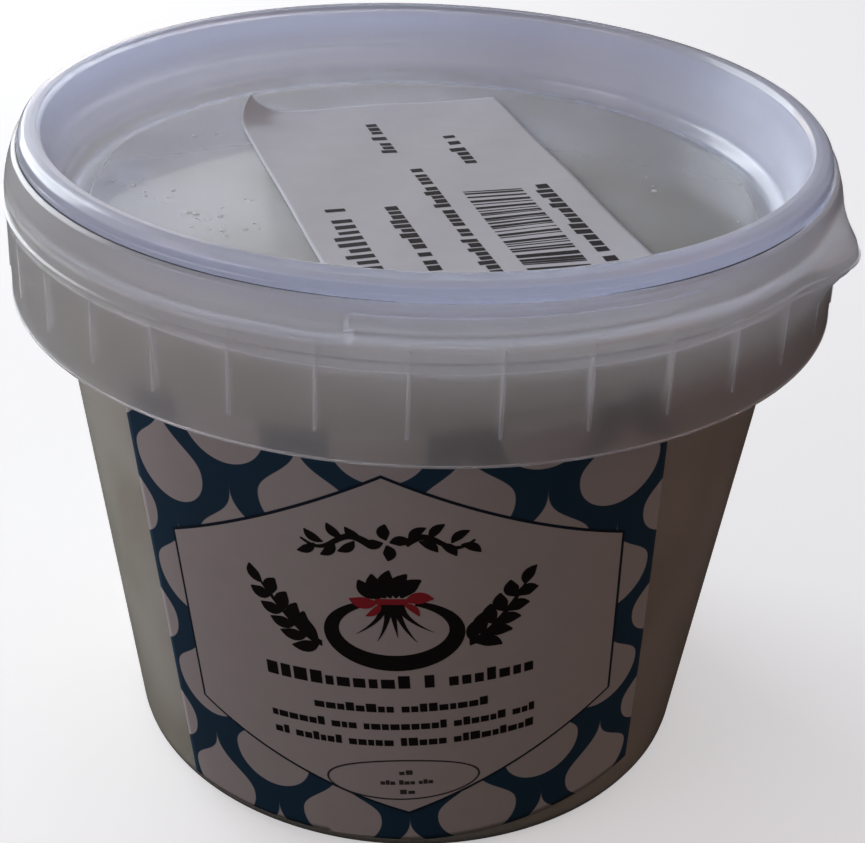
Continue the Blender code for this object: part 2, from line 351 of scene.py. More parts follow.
def ink(name, code):
    """Offset ink on coated paper, a little glossier than the sheet."""
    material, tree = new_material(name)
    place = add(tree, "ShaderNodeTexCoord").outputs["Object"]
    # unevenness of the ink, about 1 mm across
    lay = add(tree, "ShaderNodeTexNoise", {"Vector": place, "Scale": 900.0, "Detail": 2.0})
    rough = add(tree, "ShaderNodeMapRange", {"Value": lay, "To Min": 0.35, "To Max": 0.5})
    shader = add(tree, "ShaderNodeBsdfPrincipled", {"Base Color": linear(code), "Roughness": rough})
    add(tree, "ShaderNodeOutputMaterial", {"Surface": shader})
    return material


DROP_ACROSS = 17.2               # repeat of the half-drop print, millimetres
DROP_UP = 16.3
DROP_HALF = 5.1                  # half width of one drop
DROP_BELOW = 4.8                 # from its widest place to its foot
DROP_NECK = 4.4                  # and to where it draws in to its point
DROP_SHARPNESS = 2.6             # how suddenly it draws in
DROP_EDGE = 0.06                 # softness of the printed edge
DROP_PLACES = ((0.0, 13.2), (DROP_ACROSS / 2.0, 21.35))    # one drop of each of the two sets
DROP_FOOT_ROOM = 6.0             # of each repeat, the part below the drop's widest place


def printed_paper():
    """Coated label paper, offset printed with the traditional half-drop of pointed drops."""
    material, tree = new_material("offset_printed_paper")
    flat = add(tree, "ShaderNodeUVMap", uv_map="flat")
    place = add(tree, "ShaderNodeSeparateXYZ", {0: flat.outputs[0]})
    drops = []
    for centre_x, centre_y in DROP_PLACES:
        # millimetres from the middle of the nearest drop
        across = add(tree, "ShaderNodeMath", {
            0: place.outputs[0], 1: LABEL_WIDTH, 2: -LABEL_WIDTH / 2.0 - centre_x},
            operation='MULTIPLY_ADD')
        across = add(tree, "ShaderNodeMath",
                     {0: across, 1: DROP_ACROSS / 2.0, 2: -DROP_ACROSS / 2.0}, operation='WRAP')
        up = add(tree, "ShaderNodeMath", {
            0: place.outputs[1], 1: LABEL_HEIGHT, 2: -LABEL_HEIGHT / 2.0 - centre_y},
            operation='MULTIPLY_ADD')
        up = add(tree, "ShaderNodeMath",
                 {0: up, 1: DROP_UP - DROP_FOOT_ROOM, 2: -DROP_FOOT_ROOM}, operation='WRAP')
        # round below its widest place
        low = add(tree, "ShaderNodeMath", {0: up, 1: 0.0}, operation='MINIMUM')
        low = add(tree, "ShaderNodeMath", {0: low, 1: DROP_BELOW}, operation='DIVIDE')
        low = add(tree, "ShaderNodeMath", {0: low, 1: low}, operation='MULTIPLY')
        low = add(tree, "ShaderNodeMath", {0: 1.0, 1: low}, operation='SUBTRACT', use_clamp=True)
        low = add(tree, "ShaderNodeMath", {0: low}, operation='SQRT')
        # drawn in to a point above it
        high = add(tree, "ShaderNodeMath", {0: up, 1: 0.0}, operation='MAXIMUM')
        high = add(tree, "ShaderNodeMath", {0: high, 1: DROP_NECK}, operation='DIVIDE')
        high = add(tree, "ShaderNodeMath", {0: high, 1: DROP_SHARPNESS}, operation='POWER')
        high = add(tree, "ShaderNodeMath", {0: high, 1: -1.0}, operation='MULTIPLY')
        high = add(tree, "ShaderNodeMath", {0: high}, operation='EXPONENT')
        width = add(tree, "ShaderNodeMath", {0: low, 1: high}, operation='MULTIPLY')
        width = add(tree, "ShaderNodeMath", {0: width, 1: DROP_HALF, 2: -DROP_EDGE},
                    operation='MULTIPLY_ADD')
        beside = add(tree, "ShaderNodeMath", {0: across}, operation='ABSOLUTE')
        drops.append(add(tree, "ShaderNodeMath", {0: width, 1: beside}, operation='SUBTRACT'))
    inside = add(tree, "ShaderNodeMath", {0: drops[0], 1: drops[1]}, operation='MAXIMUM')
    edge = add(tree, "ShaderNodeMapRange", {
        "Value": inside, "From Min": -DROP_EDGE, "From Max": DROP_EDGE})
    object_place = add(tree, "ShaderNodeTexCoord").outputs["Object"]
    # mottle of the coating, about 3 mm across
    mottle = add(tree, "ShaderNodeTexNoise", {
        "Vector": object_place, "Scale": 320.0, "Detail": 3.0})
    fibre = add(tree, "ShaderNodeMapRange", {"Value": mottle, "To Min": 0.95, "To Max": 1.04})
    # sockets 6 and 7 are the two colours of a mix node
    colour = add(tree, "ShaderNodeMix", {
        "Factor": edge.outputs[0], 6: linear("274862"), 7: linear("d5cccd")}, data_type='RGBA')
    toned = add(tree, "ShaderNodeVectorMath", {0: colour.outputs[2], "Scale": fibre.outputs[0]},
                operation='SCALE')
    rough = add(tree, "ShaderNodeMapRange", {"Value": mottle, "To Min": 0.42, "To Max": 0.55})
    shader = add(tree, "ShaderNodeBsdfPrincipled", {"Base Color": toned, "Roughness": rough})
    add(tree, "ShaderNodeOutputMaterial", {"Surface": shader})
    return material


def bubble_film():
    """Whey bubble: a thin wet skin of liquid, clear and glossy."""
    material, tree = new_material("whey_bubble_skin")
    place = add(tree, "ShaderNodeTexCoord").outputs["Object"]
    # swirls about 1 mm across
    swirl = add(tree, "ShaderNodeTexNoise", {"Vector": place, "Scale": 900.0})
    rough = add(tree, "ShaderNodeMapRange", {"Value": swirl, "To Min": 0.02, "To Max": 0.10})
    shader = add(tree, "ShaderNodeBsdfPrincipled", {
        "Base Color": linear("fbfaf6"), "Roughness": rough, "IOR": 1.34,
        "Transmission Weight": 0.55})
    see_through(tree, shader, (0.9, 0.9, 0.88, 1.0))
    return material


# ---------------------------------------------------------------- tub

def collar_outer():
    """Outer face of the collar, from its lip down to the hem of the skirt."""
    return [
        (48.25, COLLAR_TOP, 0.12),
        (48.62, 79.95, 0.25),
        (48.92, 79.1, 0.8),
        (49.28, 78.1, 1.2),
        (49.58, 76.9, 1.5),
        (49.78, 75.7, 0.8),
        (49.80, RIDGE_HEIGHT - 0.10, 0.05),
        (RIDGE_RADIUS, RIDGE_HEIGHT - 0.22, 0.05),
        (RIDGE_RADIUS, RIDGE_HEIGHT - 0.40, 0.05),
        (49.82, RIDGE_HEIGHT - 0.50, 0.05),
        (49.84, 73.62, 0.05),
        (49.72, 73.50, 0.05),
        (49.76, 70.0, 1.0),
        (49.80, SKIRT_BOTTOM + 0.36, 0.10),
        (49.89, SKIRT_BOTTOM + 0.26, 0.06),
        (49.89, SKIRT_BOTTOM + 0.08, 0.06),
        (49.80, SKIRT_BOTTOM, 0.05),
    ]


def tub_profile():
    """Section of the tub: down the collar, under the foot, and back up its inside."""
    ledge_low = LEDGE_HEIGHT - WALL
    inner = 49.0
    lip_inner = LID_RADIUS + 0.25
    points = [(lip_inner, COLLAR_TOP)] + collar_outer()
    points += [(inner, SKIRT_BOTTOM, 0.1), (inner - 0.02, 73.2, 0.3), (inner - 0.22, 73.6, 0.2),
               (inner - 0.3, ledge_low, 0.5),
               (wall_radius(ledge_low), ledge_low, 0.5), (wall_radius(40.0), 40.0),
               (wall_radius(0.0), 0.0, BASE_FILLET), (30.0, 0.0), (0.0, 0.0)]
    points += [(0.0, BASE_THICKNESS), (wall_radius(0.0) - WALL, BASE_THICKNESS, 1.4),
               (wall_radius(40.0) - WALL, 40.0), (wall_radius(WALL_TOP) - WALL, WALL_TOP, 0.3),
               (wall_radius(WALL_TOP), WALL_TOP, 0.3),
               (wall_radius(LEDGE_HEIGHT), LEDGE_HEIGHT, 0.3),
               (lip_inner, LEDGE_HEIGHT, 0.3), (lip_inner, COLLAR_TOP)]
    return rounded(points)


DISH_FROM, DISH_TO = -8.5, 33.0  # thumb dish of the collar, degrees from the front
DISH_DEPTH = 0.55                # under its upper edge; its steeper face sinks deeper below
DISH_STEEP = 0.25
DISH_LOW, DISH_HIGH = 75.3, 79.25
DISH_BLEND = 0.45
DISH_LIP = 0.17                  # fine raised lip along its upper edge and near end
DISH_ROUND = 1.1                 # its near end is rounded off over this width
DISH_FADE = 12.0                 # its far end runs out over these degrees
DISH_CROWD = 12.0                # facets are drawn together over these degrees of its near end
DISH_CROWD_POWER = 1.7

# Longest stretch of the collar's section between two rings of facets, in millimetres
COLLAR_STEP = 0.8
SHOULDER_STEP = 0.17             # on the shoulder, where the dish bends it
TAB_ANGLE = 66.0
TAB_HALF_WIDTH = 13.0
TAB_REACH = 2.7
TAB_ABOVE = 4.0
TAB_BELOW = 5.0


def tab_shift(angle, z):
    """How far the pull tab stands out from the collar here, in millimetres."""
    side = abs(angle - TAB_ANGLE) / TAB_HALF_WIDTH
    if side >= 1.0:
        return 0.0
    lug = TAB_REACH * math.cos(side * math.pi / 2.0) ** 2
    lug *= 1.0 - smooth((z - RIDGE_HEIGHT) / TAB_ABOVE)
    return lug * (1.0 - smooth((RIDGE_HEIGHT - z) / TAB_BELOW))


def dish_shift(angle, z):
    """How far the thumb dish sinks into the collar here: a long slot with a rounded near end."""
    middle = (DISH_LOW + DISH_HIGH) / 2.0
    half = (DISH_HIGH - DISH_LOW) / 2.0
    along = math.radians(angle - DISH_FROM) * RIDGE_RADIUS - DISH_ROUND
    up = abs(z - middle) - (half - DISH_ROUND)
    corner = math.hypot(max(-along, 0.0), max(up, 0.0)) if along < 0.0 else max(up, 0.0)
    blend = DISH_BLEND if z > middle else 3.5 * DISH_BLEND
    sink = smooth((DISH_ROUND - corner) / blend)
    depth = DISH_DEPTH + DISH_STEEP * min(max((DISH_HIGH - z) / (2.0 * half), 0.0), 1.0)
    lip = DISH_LIP * math.exp(-((corner - DISH_ROUND - 0.1) / 0.22) ** 2)
    lip *= smooth((z - middle) / 0.8)
    return (depth * sink - lip) * smooth((DISH_TO - angle) / DISH_FADE + 0.5)


def crowd(angle):
    """Draw the facets together round the near end of the dish, so that it stays crisp."""
    u = (angle - DISH_FROM - 1.0) / DISH_CROWD
    if abs(u) >= 1.0:
        return angle
    return DISH_FROM + 1.0 + DISH_CROWD * math.copysign(abs(u) ** DISH_CROWD_POWER, u)


def make_tub(material):
    """Tub turned from its section, with the pull tab and the thumb dish worked into the collar."""
    section = tub_profile()
    profile = []
    for here, after in zip(section, section[1:]):
        parts = 1
        if min(here[0], after[0]) > COLLAR_FROM + 0.1:
            on_shoulder = here[0] > COLLAR_FROM + 0.3 and min(here[1], after[1]) > DISH_LOW - 0.1
            step = SHOULDER_STEP if on_shoulder else COLLAR_STEP
            parts = max(1, round((Vector(after) - Vector(here)).length / step))
        profile += [tuple(Vector(here).lerp(Vector(after), k / parts)) for k in range(parts)]
    profile.append(section[-1])
    bm = spun(profile)
    for vert in bm.verts:
        radius = math.hypot(vert.co.x, vert.co.y) / MM
        height = vert.co.z / MM
        if height < SKIRT_BOTTOM - 1.0 or radius < COLLAR_FROM:
            continue
        angle = crowd(math.degrees(math.atan2(vert.co.x, -vert.co.y)))
        radius += tab_shift(angle, height) - dish_shift(angle, height)
        turn = math.radians(angle)
        vert.co = Vector((radius * math.sin(turn), -radius * math.cos(turn), height)) * MM
    return finish_piece("tub_shell", bm, material, "tub")


def make_ribs(material):
    """Shallow upright ribs inside the skirt; each shows on its face as a fine raised line."""
    bm = bmesh.new()
    for i in range(RIB_COUNT):
        turn = Matrix.Rotation(math.radians(RIB_FIRST_ANGLE + 360.0 * i / RIB_COUNT), 4, 'Z')
        verts = bmesh.ops.create_cube(bm, size=1.0)["verts"]
        for vert in verts:
            near_wall = vert.co.y > 0
            low = RIB_BOTTOM + (0.5 if near_wall else 0.0)
            at_top = vert.co.z > 0
            face = RIB_OUTER - 0.22 if at_top else RIB_OUTER
            vert.co = Vector((vert.co.x * RIB_THICKNESS, -(RIB_INNER if near_wall else face),
                              RIB_TOP if at_top else low)) * MM
        bmesh.ops.transform(bm, verts=verts, matrix=turn)
    bmesh.ops.recalc_face_normals(bm, faces=bm.faces)
    bmesh.ops.bevel(bm, geom=bm.edges[:], offset=0.10 * MM, segments=2, affect='EDGES',
                    profile=0.5, material=-1)
    return finish_piece("skirt_ribs", bm, material, "tub")


# ---------------------------------------------------------------- lid

def lid_profile():
    """Section of the lid: over its panel and rim, and back underneath."""
    slope = (RECESS_TOP_RADIUS - PANEL_RADIUS) / (LID_TOP - PANEL_HEIGHT)
    plug_low = PANEL_RADIUS + LID_WALL
    plug_high = plug_low + slope * (WALL_TOP - PANEL_HEIGHT)
    flange_inner = wall_radius(WALL_TOP) + 0.45
    points = [
        (0.0, PANEL_HEIGHT), (20.0, PANEL_HEIGHT), (PANEL_RADIUS - 3.2, PANEL_HEIGHT, 0.3),
        (PANEL_RADIUS - 3.0, PANEL_HEIGHT - 0.12, 0.1),
        (PANEL_RADIUS - 1.3, PANEL_HEIGHT - 0.12, 0.8),
        (PANEL_RADIUS + 0.1, PANEL_HEIGHT + 1.1, 1.2),
        (RECESS_TOP_RADIUS - 0.05, LID_TOP - 0.75, 0.5),
        (RECESS_TOP_RADIUS + 0.35, LID_TOP - 0.05, 0.3),
        (46.30, LID_TOP, 0.3), (47.15, LID_TOP - 0.18, 0.5), (47.70, LID_TOP - 0.80, 0.5),
        (LID_RADIUS - 0.08, LID_TOP - 1.60, 0.2), (LID_RADIUS, LID_TOP - 1.75, 0.1),
        (LID_RADIUS, FLANGE_BOTTOM, 0.2),
        (flange_inner, FLANGE_BOTTOM, 0.2), (flange_inner, LID_TOP - 1.1, 0.3),
        (plug_high + 0.25, LID_TOP - 1.1, 0.4), (plug_high, WALL_TOP, 0.5),
        (plug_low, PANEL_HEIGHT + 0.9, 0.8), (plug_low - 1.0, PANEL_HEIGHT - LID_WALL, 0.8),
        (20.0, PANEL_HEIGHT - LID_WALL), (0.0, PANEL_HEIGHT - LID_WALL),
    ]
    return rounded(points)


def make_lid(material):
    return finish_piece("lid_shell", spun(lid_profile()), material, "lid")


def make_painted_gap_shadow(material):
    """Painted shadow: a dark hairline strip in the joint between lid and collar, where the lid sits
    proud.
    """
    bm = bmesh.new()
    for start, end in GAP_SHADOW_SPANS:
        grid = bmesh.ops.create_grid(bm, x_segments=int((end - start) / 1.5), y_segments=2,
                                     size=0.5)
        for vert in grid["verts"]:
            t = vert.co.x + 0.5
            turn = math.radians(start + (end - start) * t)
            slim = math.sin(math.pi * min(max(t, 0.02), 0.98)) ** 0.5
            radius = LID_RADIUS + 0.13 - 0.26 * slim * vert.co.y
            vert.co = Vector((radius * math.sin(turn), -radius * math.cos(turn),
                              COLLAR_TOP + 0.01)) * MM
    return finish_piece("painted_gap_shadow_strip", bm, material, "tub")


# ---------------------------------------------------------------- contents

def make_whey(material):
    """Whey up to the underside of the lid, reaching into the plastic all round."""
    high = whey_high.z / MM
    side = WALL - 0.25
    low = BASE_THICKNESS - 0.25
    under = PANEL_HEIGHT - LID_WALL + 0.2
    points = [(0.0, under), (20.0, under), (PANEL_RADIUS - 2.0, under, 1.0),
              (PANEL_RADIUS - 0.6, high - 0.6, 0.8), (wall_radius(high) - side, high - 0.5),
              (wall_radius(40.0) - side, 40.0),
              (wall_radius(low) - side, low, 1.6), (20.0, low), (0.0, low)]
    return finish_piece("whey", spun(rounded(points), 180), material, "contents")


def make_cheese(material):
    """One pouch of cheese sunk in the whey: a slumped ball with its top gathered to a knot."""
    bm = bmesh.new()
    bmesh.ops.create_uvsphere(bm, u_segments=96, v_segments=64, radius=1.0)
    for vert in bm.verts:
        x, y, z = vert.co
        angle = math.atan2(y, x)
        top = smooth((z - 0.62) / 0.38)
        pleat = 0.05 * top * (1.0 - smooth((z - 0.97) / 0.03)) * math.cos(11.0 * angle)
        spread = (1.0 - 0.45 * top * (1.0 - top)) + pleat
        lift = z + 0.16 * smooth((z - 0.86) / 0.14)
        slump = 0.93 + 0.03 * math.cos(2.0 * angle + 0.6)
        vert.co = Vector((x * spread * CHEESE_RADIUS, y * spread * CHEESE_RADIUS * slump,
                          lift * CHEESE_HALF_HEIGHT)) * MM
    lean = Matrix.Rotation(math.radians(CHEESE_LEAN), 3, 'X')
    bmesh.ops.rotate(bm, verts=bm.verts, cent=(0, 0, 0), matrix=lean)
    bmesh.ops.translate(bm, verts=bm.verts, vec=Vector(CHEESE_PLACE) * MM)
    return finish_piece("sunken_cheese", bm, material, "contents")


def make_bubbles(material):
    """Drops and bubbles of whey that cling to the lid's panel, most of them in a few clusters."""
    rng = random.Random(7)
    bm = bmesh.new()
    # middle, spread and number of each cluster
    groups = [((-31.5, -6.0), 4.5, 14), ((-22.5, -13.5), 4.0, 12), ((-27.3, -10.7), 1.4, 9),
              ((-36.5, -1.0), 2.0, 5), ((-21.0, -5.5), 2.5, 5), ((30.0, 4.0), 8.0, 4),
              ((-28.0, 16.0), 8.0, 3)]
    flattened = Matrix.Diagonal((1, 1, 0.5, 1))
    for (x, y), spread, count in groups:
        for _ in range(count):
            size = 0.12 + 0.40 * rng.random() ** 3
            place = Vector((x + rng.gauss(0, spread / 2), y + rng.gauss(0, spread / 2),
                            PANEL_HEIGHT)) * MM
            if place.xy.length > 39.5 * MM:      # beyond the flat of the panel
                continue
            bmesh.ops.create_icosphere(bm, subdivisions=2, radius=size * MM,
                                       matrix=Matrix.Translation(place) @ flattened)
    return finish_piece("whey_bubbles", bm, material, "contents")


# ---------------------------------------------------------------- label

def on_wall(across, up, offset):
    """Point of the side wall from flat label millimetres, laid on without stretching."""
    tilt = math.radians(LABEL_TILT)
    shifted = (across * (1.0 + LABEL_TAPER * up) + LABEL_SHIFT[0], up + LABEL_SHIFT[1])
    x = shifted[0] * math.cos(tilt) - shifted[1] * math.sin(tilt)
    y = shifted[0] * math.sin(tilt) + shifted[1] * math.cos(tilt)
    sine = math.sin(math.atan(WALL_GROWTH))
    slant = LABEL_RADIUS / sine + y
    angle = math.atan2(x, slant) / sine
    radius = math.hypot(x, slant) * sine
    height = (radius - BASE_RADIUS) / WALL_GROWTH
    radius += offset
    return Vector((radius * math.sin(angle), -radius * math.cos(angle), height)) * MM


def lay(bm, offset):
    """Wrap a flat drawing in label millimetres on the wall, at this offset."""
    for vert in bm.verts:
        vert.co = on_wall(vert.co.x, vert.co.y, offset + vert.co.z)


def make_label(material):
    """Printed paper wrapped on the wall, cut off level with the top of the foot's rounding."""
    bm = bmesh.new()
    bmesh.ops.create_grid(bm, x_segments=90, y_segments=72, size=0.5)
    layer = bm.loops.layers.uv.new("flat")
    for face in bm.faces:
        for loop in face.loops:
            loop[layer].uv = (loop.vert.co.x + 0.5, loop.vert.co.y + 0.5)
    for vert in bm.verts:
        vert.co = Vector((vert.co.x * LABEL_WIDTH, vert.co.y * LABEL_HEIGHT, 0.0))
    lay(bm, PAPER_LIFT)
    bmesh.ops.bisect_plane(bm, geom=bm.verts[:] + bm.edges[:] + bm.faces[:], dist=1e-6,
                           plane_co=(0, 0, LABEL_FOOT * MM), plane_no=(0, 0, -1), clear_outer=True)
    piece = finish_piece("printed_label", bm, material, "label")
    paper = piece.modifiers.new("Paper", 'SOLIDIFY')
    paper.thickness = 0.09 * MM
    paper.offset = 1.0
    return piece


# Corners of the peaked field, in label millimetres
SHIELD = [(0.0, 26.1), (-26.9, 12.1), (-26.75, -13.6), (0.0, -26.3), (26.75, -13.9), (26.9, 11.9)]


def shield_bm(margin, offset):
    """Peaked field of the label, drawn in by this margin and wrapped on the wall."""
    bm = bmesh.new()
    bmesh.ops.create_grid(bm, x_segments=56, y_segments=56, size=27.6)
    for start, end in zip(SHIELD, SHIELD[1:] + SHIELD[:1]):
        outward = Vector((end[1] - start[1], start[0] - end[0], 0.0)).normalized()
        if outward.xy.dot(Vector(start)) < 0.0:
            outward.negate()
        bmesh.ops.bisect_plane(bm, geom=bm.verts[:] + bm.edges[:] + bm.faces[:], dist=1e-6,
                               plane_co=Vector((*start, 0.0)) - outward * margin, plane_no=outward,
                               clear_outer=True)
    lay(bm, offset)
    return bm


def make_shield(paper, ink_navy):
    """White field with a fine dark line round it."""
    finish_piece("label_shield_line", shield_bm(0.0, SHIELD_LINE_LIFT), ink_navy,
                 "label")
    return finish_piece("label_shield", shield_bm(SHIELD_LINE, SHIELD_LIFT), paper,
                        "label")


def stroke(bm, path, width, steps=26):
    """Ribbon of ink along path(t), as wide as width(t), for t from 0 to 1."""
    for vert in bmesh.ops.create_grid(bm, x_segments=steps, y_segments=1, size=0.5)["verts"]:
        t, side = vert.co.x + 0.5, vert.co.y
        ahead = Vector(path(t + 0.005)) - Vector(path(t - 0.005))
        across = Vector((-ahead.y, ahead.x)).normalized() * width(t) * side
        vert.co = Vector((*(Vector(path(t)) + across), 0.0))


def patch(bm, x, y, length, height):
    """Upright rectangle of ink centred at x, y."""
    for vert in bmesh.ops.create_grid(bm, x_segments=2, y_segments=1, size=0.5)["verts"]:
        vert.co = Vector((x + vert.co.x * length, y + vert.co.y * height, 0.0))


def print_bars(bm, rng, y, half, height, words, gap=0.16, space=0.75):
    """Row of small blocks in groups, standing for a line of print centred on x = 0."""
    blocks = []
    for count in words:
        blocks += [(rng.uniform(0.55, 1.0), rng.choice((0.72, 0.72, 1.0)), gap)
                   for _ in range(count)]
        blocks[-1] = (*blocks[-1][:2], space)
    total = sum(wide + after for wide, _, after in blocks) - space
    scale = 2.0 * half / total
    x = -half
    for wide, tall, after in blocks:
        patch(bm, x + wide * scale / 2.0, y + (tall - 1.0) * height / 2.0,
              wide * scale, height * tall)
        x += (wide + after) * scale


def leaf(bm, x, y, length, width, turn):
    """Pointed leaf that grows from x, y towards this angle."""
    c, s = math.cos(turn), math.sin(turn)
    stroke(bm, lambda t: (x + c * length * t - s * 0.12 * length * math.sin(math.pi * t),
                          y + s * length * t + c * 0.12 * length * math.sin(math.pi * t)),
           lambda t: width * math.sin(math.pi * min(max(t, 0.02), 0.98)) ** 0.8, 10)


def tied_pouch(bm):
    """Emblem: a pouch of cheese with a gathered neck, drawn with a swelling line."""
    def side(t):
        angle = math.radians(-158.0 + 316.0 * t)
        return 7.0 * math.sin(angle), 3.9 - 4.7 * math.cos(angle)
    stroke(bm, side, lambda t: 0.7 + 1.7 * math.sin(math.pi * t), 60)
    for lean, drop in ((-1.0, 4.6), (-0.45, 5.6), (0.1, 5.0), (0.6, 5.8), (1.05, 4.4)):
        stroke(bm, lambda t: (0.9 * lean + 3.3 * lean * t * t, 8.2 - drop * t),
               lambda t: 0.95 * (1.0 - t) + 0.05, 14)
    for lean in (-1.0, -0.5, 0.0, 0.5, 1.0):
        leaf(bm, 1.1 * lean, 9.1, 4.0 - 0.6 * abs(lean), 1.9, math.radians(90.0 - 42.0 * lean))


def sprig(bm, side):
    """Emblem: a leafy sprig that curves out and up beside the pouch."""
    def stem(t):
        return side * (8.3 + 6.4 * t), 1.6 + 7.4 * max(t, 0.0) ** 1.5
    stroke(bm, stem, lambda t: 0.9 - 0.5 * t, 16)
    for k in range(5):
        t = 0.06 + 0.2 * k
        x, y = stem(t)
        along = math.degrees(math.atan2(11.1 * t ** 0.5, 6.4))
        for turn, size in ((along + 48.0, 3.7 - 0.25 * k), (along - 42.0, 3.5 - 0.25 * k)):
            angle = math.radians(turn if side > 0 else 180.0 - turn)
            leaf(bm, x, y, size, 1.75, angle)
    x, y = stem(1.0)
    leaf(bm, x, y, 2.8, 1.5, math.radians(62.0 if side > 0 else 118.0))


def make_label_inks(black, red, grey):
    """Generic print: an ornament, a tied pouch between sprigs, and bars for small print."""
    rng = random.Random(5)
    bm = bmesh.new()
    tied_pouch(bm)
    sprig(bm, -1)
    sprig(bm, 1)
    lay(bm, INK_LIFT)
    finish_piece("label_emblem", bm, black, "label")

    bm = bmesh.new()
    patch(bm, 0.0, 8.55, 3.5, 0.85)
    for side in (-1, 1):
        leaf(bm, side * 1.5, 8.5, 3.1, 1.7, math.radians(90.0 - side * 84.0))
        leaf(bm, side * 1.2, 8.3, 2.6, 0.9, math.radians(90.0 - side * 138.0))
    lay(bm, RED_INK_LIFT)
    finish_piece("label_red_ink", bm, red, "label")

    bm = bmesh.new()
    for side in (-1, 1):
        stroke(bm, lambda t: (side * (1.9 + 7.4 * t), 16.8 + 0.9 * math.sin(math.tau * t)),
               lambda t: 0.75 * (1.0 - t) + 0.3)
        for along, high, turn in ((2.4, 17.3, 48.0), (4.6, 17.4, 40.0), (6.8, 16.6, 52.0),
                                  (3.4, 17.1, 130.0), (5.6, 16.6, 138.0), (7.8, 16.3, 124.0)):
            leaf(bm, side * along, high, 2.5, 1.15, math.radians(90.0 - side * turn))
    for turn in (90.0, 0.0, 180.0, 270.0):
        angle = math.radians(turn)
        leaf(bm, 0.35 * math.cos(angle), 17.0 + 0.35 * math.sin(angle), 2.2, 1.4, angle)
    print_bars(bm, rng, -3.8, 15.7, 2.0, (10, 1, 7), 0.24, 1.0)
    print_bars(bm, rng, -8.0, 10.2, 1.35, (8, 9))
    print_bars(bm, rng, -10.9, 15.9, 1.35, (6, 3, 9, 6, 3))
    print_bars(bm, rng, -13.6, 15.8, 1.35, (2, 6, 5, 5, 9))
    lay(bm, INK_LIFT)
    finish_piece("label_black_ink", bm, black, "label")

    bm = bmesh.new()
    def oval(t):
        angle = math.tau * t
        half_height = 3.5 if math.sin(angle) > 0 else 3.3
        return -0.4 + 9.3 * math.cos(angle), -20.3 + half_height * math.sin(angle)
    stroke(bm, oval, lambda t: 0.24, 72)
    print_bars(bm, rng, -18.9, 0.8, 0.8, (2,))
    print_bars(bm, rng, -20.6, 3.2, 0.8, (3, 3, 3))
    print_bars(bm, rng, -22.3, 0.9, 0.8, (2,))
    lay(bm, INK_LIFT)
    return finish_piece("label_grey_ink", bm, grey, "label")


# ---------------------------------------------------------------- sticker

def on_panel(across, up, lift):
    """Point above the lid's panel from sticker millimetres, with the curl worked in."""
    into_corner = (up - across - (STICKER_LENGTH + STICKER_WIDTH) / 2.0) / CURL_SIZE + 1.0
    raised = CURL_HEIGHT * max(into_corner, 0.0) ** 2
    pulled = 1.9 * max(into_corner, 0.0) ** 3
    across += pulled
    up -= pulled
    turn = math.radians(STICKER_TURN)
    x = STICKER_CENTRE[0] + across * math.cos(turn) - up * math.sin(turn)
    y = STICKER_CENTRE[1] + across * math.sin(turn) + up * math.cos(turn)
    wave = 0.10 * math.sin(across * 0.35 + 1.0) * math.cos(up * 0.22) + 0.10
    return Vector((x, y, PANEL_HEIGHT + 0.04 + lift + wave + raised)) * MM


def lay_on_panel(bm, lift):
    """Lay a flat drawing in sticker millimetres on the panel, raised by this much."""
    for vert in bm.verts:
        vert.co = on_panel(vert.co.x, vert.co.y, lift)


def make_sticker(material):
    """White paper on the sunken panel, with one corner curled up."""
    bm = bmesh.new()
    bmesh.ops.create_grid(bm, x_segments=74, y_segments=120, size=0.5)
    for vert in bm.verts:
        vert.co.x *= STICKER_WIDTH
        vert.co.y *= STICKER_LENGTH
    lay_on_panel(bm, 0.0)
    piece = finish_piece("sticker_paper", bm, material, "lid_sticker")
    paper = piece.modifiers.new("Paper", 'SOLIDIFY')
    paper.thickness = 0.10 * MM
    paper.offset = 1.0
    return piece


def upright(bm, across, up, length, height):
    """Bar of print that runs along the sticker, in sticker millimetres."""
    cells = max(1, int(length))
    for vert in bmesh.ops.create_grid(bm, x_segments=1, y_segments=cells, size=0.5)["verts"]:
        vert.co = Vector((across + vert.co.x * height, up + vert.co.y * length, 0.0))


def make_sticker_marks(black):
    """Thermal print as plain marks: rows of small blocks and a strip of lines."""
    rng = random.Random(11)
    bm = bmesh.new()
    # place across, height, start and end, length of a block and gap after it
    rows = [(-13.9, 3.3, -27.5, -5.5, 1.0, 0.75), (-7.0, 2.1, -27.5, -6.5, 1.15, 0.35),
            (-0.6, 2.0, -27.5, 4.6, 1.05, 0.3), (-1.9, 2.0, 11.8, 22.0, 1.15, 0.35),
            (7.0, 2.1, 6.2, 15.6, 1.2, 0.4), (13.2, 2.1, -27.5, -3.2, 1.25, 0.4)]
    for across, tall, start, end, wide, gap in rows:
        up = start
        while up < end:
            length = wide * rng.uniform(0.75, 1.1)
            height = tall * rng.choice((0.74, 0.74, 1.0))
            upright(bm, across + (tall - height) / 2.0, up + length / 2.0, length, height)
            up += length + gap * rng.choice((1.0, 1.0, 1.0, 1.0, 3.2))
    up = -27.5
    while up < -3.0:
        thick = rng.choice((0.22, 0.22, 0.4, 0.6))
        upright(bm, 6.9, up, thick, 7.6)
        up += thick + rng.choice((0.25, 0.35, 0.5, 0.7))
    lay_on_panel(bm, STICKER_INK_LIFT)
    return finish_piece("sticker_thermal_marks", bm, black, "lid_sticker")


# ---------------------------------------------------------------- stage

FLOOR_HALF_WIDTH = 12.0          # metres


